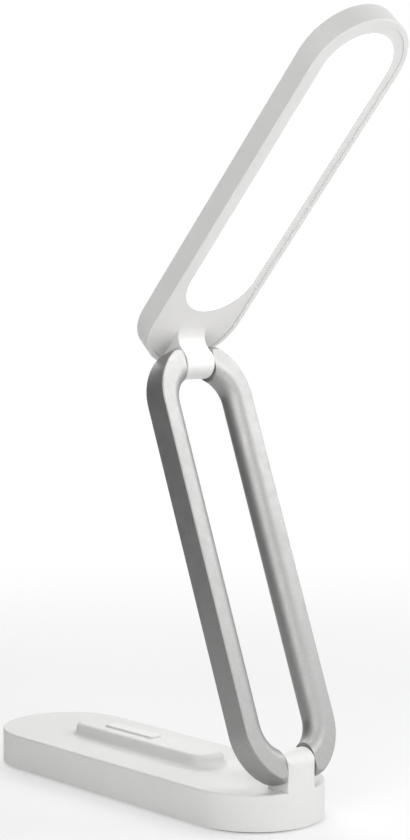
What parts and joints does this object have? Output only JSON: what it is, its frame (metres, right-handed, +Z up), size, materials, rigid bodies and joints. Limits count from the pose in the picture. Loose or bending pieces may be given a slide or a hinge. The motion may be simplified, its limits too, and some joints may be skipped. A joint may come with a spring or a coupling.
{
  "type": "folding led desk lamp",
  "caption": "Slim folding desk lamp: oblong base with a touch key, looped arm on friction hinges and a flat oblong light head that all fold together.",
  "frame": {"origin": "on the desk, under the middle of the base", "axes": "+Z up; +X along the base, towards its hinge end and the way the light faces; +Y across the lamp"},
  "size_m": [0.239, 0.0616, 0.3399],
  "materials": {
    "white_shell": "fine satin moulding, warm white",
    "white_face": "smooth satin moulding, white",
    "key_white": "glossy white touch surface",
    "silver_arm": "satin silver-grey lacquer on plastic",
    "opal_lens": "opal diffuser, lit",
    "clear_acrylic": "clear light guide",
    "reflector_white": "white reflector film",
    "rubber_pad": "dark anti-slip rubber",
    "ballast_steel": "zinc-plated steel plate",
    "steel": "plain steel",
    "nickel": "nickel-plated pressed metal",
    "acetal": "dark bearing plastic",
    "circuit_board": "green solder resist",
    "battery_foil": "foil-wrapped flat cell",
    "conductive_foam": "grey conductive cloth over foam",
    "lead_jacket": "soft white jacket",
    "strip_board": "white-coated metal-core board",
    "led_package": "white diode with yellow phosphor"
  },
  "bodies": {
    "base": {"base_shell": "white_shell", "base_bottom_cover": "white_shell", "anti_slip_pad": "rubber_pad", "ballast_plate": "ballast_steel", "battery_pack": "battery_foil", "control_board": "circuit_board", "charging_socket": "nickel", "touch_key": "key_white", "touch_foam": "conductive_foam", "base_screws": "steel", "board_screws": "steel", "base_lead": "lead_jacket", "tab_bush": "acetal"},
    "arm": {"arm_left_front": "silver_arm", "arm_left_rear": "silver_arm", "arm_right_front": "silver_arm", "arm_right_rear": "silver_arm", "lower_hinge_pin": "steel", "upper_hinge_pin": "steel", "lower_washers": "acetal", "upper_washers": "acetal", "arm_screws": "steel", "arm_lead": "lead_jacket"},
    "head": {"head_frame": "white_face", "head_shell": "white_shell", "diffuser": "opal_lens", "light_guide": "clear_acrylic", "reflector_sheet": "reflector_white", "led_strip_left": "strip_board", "led_strip_right": "strip_board", "leds": "led_package", "head_screws": "steel", "head_lead": "lead_jacket", "knuckle_bush": "acetal"}
  },
  "joints": [
    {"name": "arm_fold", "type": "hinge", "parent": "base", "child": "arm", "pos_m": [0.0898, 0, 0.0262], "axis": [0, -1, 0], "range_deg": [-21, 66]},
    {"name": "head_fold", "type": "hinge", "parent": "arm", "child": "head", "pos_m": [0.02529, 0, 0.19424], "axis": [0, 1, 0], "range_deg": [-4, 116]}
  ]
}
